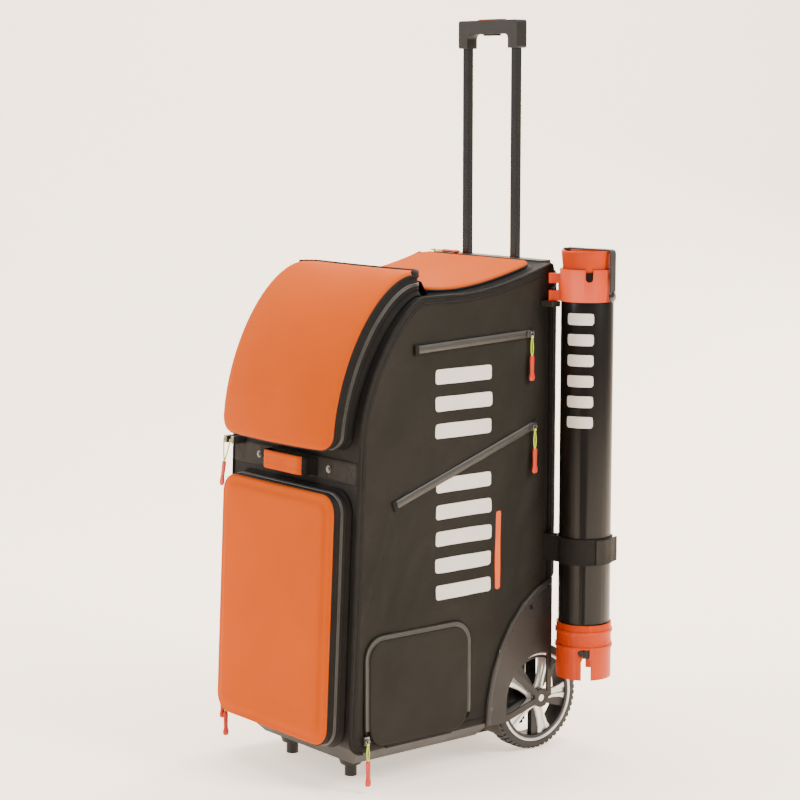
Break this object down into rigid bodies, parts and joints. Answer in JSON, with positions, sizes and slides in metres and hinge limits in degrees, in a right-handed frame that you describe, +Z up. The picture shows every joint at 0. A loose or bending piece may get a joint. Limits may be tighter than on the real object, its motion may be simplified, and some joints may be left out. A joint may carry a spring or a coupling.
{
  "type": "tennis ball machine",
  "caption": "Wheeled trolley bag with a ball launcher inside, orange front flap and pocket, pull-out handle and a ball tube strapped to its side.",
  "frame": {"origin": "on the floor, under the middle of the whole object's box", "axes": "+X towards the side that carries the ball tube, -Y the front with the flap and pocket, +Z up along the handle"},
  "size_m": [0.4552, 0.5454, 1.229],
  "materials": {
    "nylon": "matte ripstop nylon",
    "binding": "webbing and zip tape",
    "shell_orange": "moulded foam with knitted face",
    "plastic_black": "fine textured moulding",
    "gloss_black": "gloss",
    "tube_black": "satin",
    "anodised_black": "gloss black anodised",
    "tube_orange": "semi gloss moulding",
    "tab_red": "soft moulded",
    "rim_silver": "silver paint",
    "tyre_rubber": "matte",
    "steel": "satin",
    "zip_metal": "gunmetal"
  },
  "bodies": {
    "bag": {"base_tray": "plastic_black", "front_feet": "plastic_black", "side_panel_left": "nylon", "side_panel_right": "nylon", "front_panel": "nylon", "top_deck": "nylon", "back_panel": "nylon", "inner_frame": "steel", "flap_gusset": "binding", "pocket_gusset": "binding", "top_gusset": "binding", "grab_handle": "shell_orange", "rivets": "steel", "side_zips": "binding", "wheel_guard_left": "plastic_black", "wheel_guard_right": "plastic_black", "guard_screws": "gloss_black", "axle": "steel", "handle_bezel": "plastic_black", "handle_sleeves": "steel", "fixed_sliders": "zip_metal", "tube_hanger": "plastic_black", "tube_strap": "binding", "control_panel": "plastic_black", "hopper": "plastic_black", "feed_drive": "steel"},
    "flap": {"flap_shell": "shell_orange"},
    "door": {"pocket_door": "shell_orange"},
    "lid": {"top_panel": "shell_orange"},
    "side_pocket": {"side_pocket_flap": "nylon"},
    "wheel_left": {"tyre_left": "tyre_rubber", "rim_left": "rim_silver"},
    "wheel_right": {"tyre_right": "tyre_rubber", "rim_right": "rim_silver"},
    "handle": {"handle_tubes": "anodised_black", "handle_grip": "plastic_black"},
    "button": {"handle_button": "tube_orange"},
    "upper_zip": {"upper_slider": "zip_metal"},
    "upper_zip_pull": {"upper_pull": "tab_red"},
    "lower_zip": {"lower_slider": "zip_metal"},
    "lower_zip_pull": {"lower_pull": "tab_red"},
    "side_pocket_pull": {"pocket_pull": "tab_red"},
    "door_pull_a": {"door_pull_high": "tab_red"},
    "door_pull_b": {"door_pull_low": "tab_red"},
    "flap_pull_pair": {"flap_pulls": "tab_red"},
    "lid_pull": {"top_pull": "tab_red"},
    "ball_tube": {"tube_barrel": "tube_black", "tube_collar": "tube_orange", "tube_flare": "tube_orange", "tube_hook_strap": "tyre_rubber"},
    "ball_tube_mouth": {"tube_mouth": "tube_orange"},
    "launcher": {"launcher_housing": "plastic_black", "launcher_motors": "steel"},
    "throw_left": {"throw_wheel_left": "tyre_rubber"},
    "throw_right": {"throw_wheel_right": "tyre_rubber"},
    "feed": {"feed_rotor": "tube_orange"},
    "speed": {"speed_knob": "gloss_black"},
    "elevation": {"elevation_knob": "gloss_black"},
    "power": {"power_switch": "tube_orange"},
    "battery_pack": {"battery": "plastic_black"}
  },
  "joints": [
    {"name": "wheel_left_spin", "type": "hinge", "parent": "bag", "child": "wheel_left", "pos_m": [-0.19614, 0.1757, 0.091], "axis": [1, 0, 0], "continuous": true},
    {"name": "wheel_right_spin", "type": "hinge", "parent": "bag", "child": "wheel_right", "pos_m": [0.09587, 0.1757, 0.091], "axis": [1, 0, 0], "continuous": true},
    {"name": "handle_slide", "type": "slide", "parent": "bag", "child": "handle", "axis": [0, 0, 1], "range_m": [-0.34, 0]},
    {"name": "handle_button_press", "type": "slide", "parent": "handle", "child": "button", "axis": [0, 0, -1], "range_m": [0, 0.003], "stiffness_N_per_m": 300},
    {"name": "flap_open", "type": "hinge", "parent": "bag", "child": "flap", "pos_m": [-0.05013, -0.0603, 0.812], "axis": [-1, 0, 0], "range_deg": [0, 110]},
    {"name": "door_open", "type": "hinge", "parent": "bag", "child": "door", "pos_m": [-0.05013, -0.25715, 0.07927], "axis": [1, 0, 0], "range_deg": [0, 88]},
    {"name": "lid_open", "type": "hinge", "parent": "bag", "child": "lid", "pos_m": [-0.05013, 0.1737, 0.82449], "axis": [-1, 0, 0], "range_deg": [0, 92]},
    {"name": "side_pocket_open", "type": "hinge", "parent": "bag", "child": "side_pocket", "pos_m": [0.12387, -0.0023, 0.073], "axis": [0, 1, 0], "range_deg": [0, 70]},
    {"name": "upper_zip_slide", "type": "slide", "parent": "bag", "child": "upper_zip", "axis": [0, -0.9992, -0.0409], "range_m": [0, 0.225]},
    {"name": "upper_pull_swing", "type": "hinge", "parent": "upper_zip", "child": "upper_zip_pull", "pos_m": [0.12976, 0.1437, 0.713], "axis": [1, 0, 0], "range_deg": [-60, 20]},
    {"name": "lower_zip_slide", "type": "slide", "parent": "bag", "child": "lower_zip", "axis": [0, -0.9454, -0.3258], "range_m": [0, 0.27]},
    {"name": "lower_pull_swing", "type": "hinge", "parent": "lower_zip", "child": "lower_zip_pull", "pos_m": [0.12976, 0.1517, 0.558], "axis": [1, 0, 0], "range_deg": [-60, 15]},
    {"name": "pocket_pull_swing", "type": "hinge", "parent": "bag", "child": "side_pocket_pull", "pos_m": [0.12976, -0.2003, 0.086], "axis": [1, 0, 0], "range_deg": [-45, 0]},
    {"name": "door_pull_high_swing", "type": "hinge", "parent": "bag", "child": "door_pull_a", "pos_m": [-0.22393, -0.2383, 0.131], "axis": [1, 0, 0], "range_deg": [-60, 0]},
    {"name": "door_pull_low_swing", "type": "hinge", "parent": "bag", "child": "door_pull_b", "pos_m": [-0.21713, -0.2363, 0.101], "axis": [1, 0, 0], "range_deg": [-60, 0]},
    {"name": "flap_pulls_swing", "type": "hinge", "parent": "bag", "child": "flap_pull_pair", "pos_m": [-0.20314, -0.2363, 0.537], "axis": [0, 1, 0], "range_deg": [0, 30]},
    {"name": "top_pull_lift", "type": "hinge", "parent": "bag", "child": "lid_pull", "pos_m": [-0.18813, 0.1907, 0.8308], "axis": [0, -1, 0], "range_deg": [0, 150]},
    {"name": "ball_tube_lift", "type": "slide", "parent": "bag", "child": "ball_tube", "axis": [0, 0, 1], "range_m": [0, 0.09]},
    {"name": "ball_mouth_twist", "type": "hinge", "parent": "ball_tube", "child": "ball_tube_mouth", "pos_m": [0.17486, 0.2247, 0.18], "axis": [0, 0, 1], "range_deg": [-10, 0]},
    {"name": "launcher_tilt", "type": "hinge", "parent": "bag", "child": "launcher", "pos_m": [-0.05013, -0.0843, 0.64], "axis": [-1, 0, 0], "range_deg": [0, 20]},
    {"name": "throw_left_spin", "type": "hinge", "parent": "launcher", "child": "throw_left", "pos_m": [-0.12713, -0.0843, 0.64], "axis": [0, 0, 1], "continuous": true},
    {"name": "throw_right_spin", "type": "hinge", "parent": "launcher", "child": "throw_right", "pos_m": [0.02686, -0.0843, 0.64], "axis": [0, 0, 1], "continuous": true},
    {"name": "feed_spin", "type": "hinge", "parent": "bag", "child": "feed", "pos_m": [-0.05013, 0.0717, 0.665], "axis": [0, 0, 1], "continuous": true},
    {"name": "speed_turn", "type": "hinge", "parent": "bag", "child": "speed", "pos_m": [0.01587, -0.1923, 0.632], "axis": [0, -1, 0], "range_deg": [0, 270]},
    {"name": "elevation_turn", "type": "hinge", "parent": "bag", "child": "elevation", "pos_m": [0.05187, -0.1923, 0.632], "axis": [0, -1, 0], "range_deg": [0, 270]},
    {"name": "power_rock", "type": "hinge", "parent": "bag", "child": "power", "pos_m": [0.03386, -0.1903, 0.592], "axis": [1, 0, 0], "range_deg": [0, 14]},
    {"name": "battery_lift", "type": "slide", "parent": "bag", "child": "battery_pack", "axis": [0, 0, 1], "range_m": [0, 0.12]}
  ],
  "couplings": [
    {"joint": "elevation_turn", "follows": "launcher_tilt", "ratio": 13.5}
  ]
}
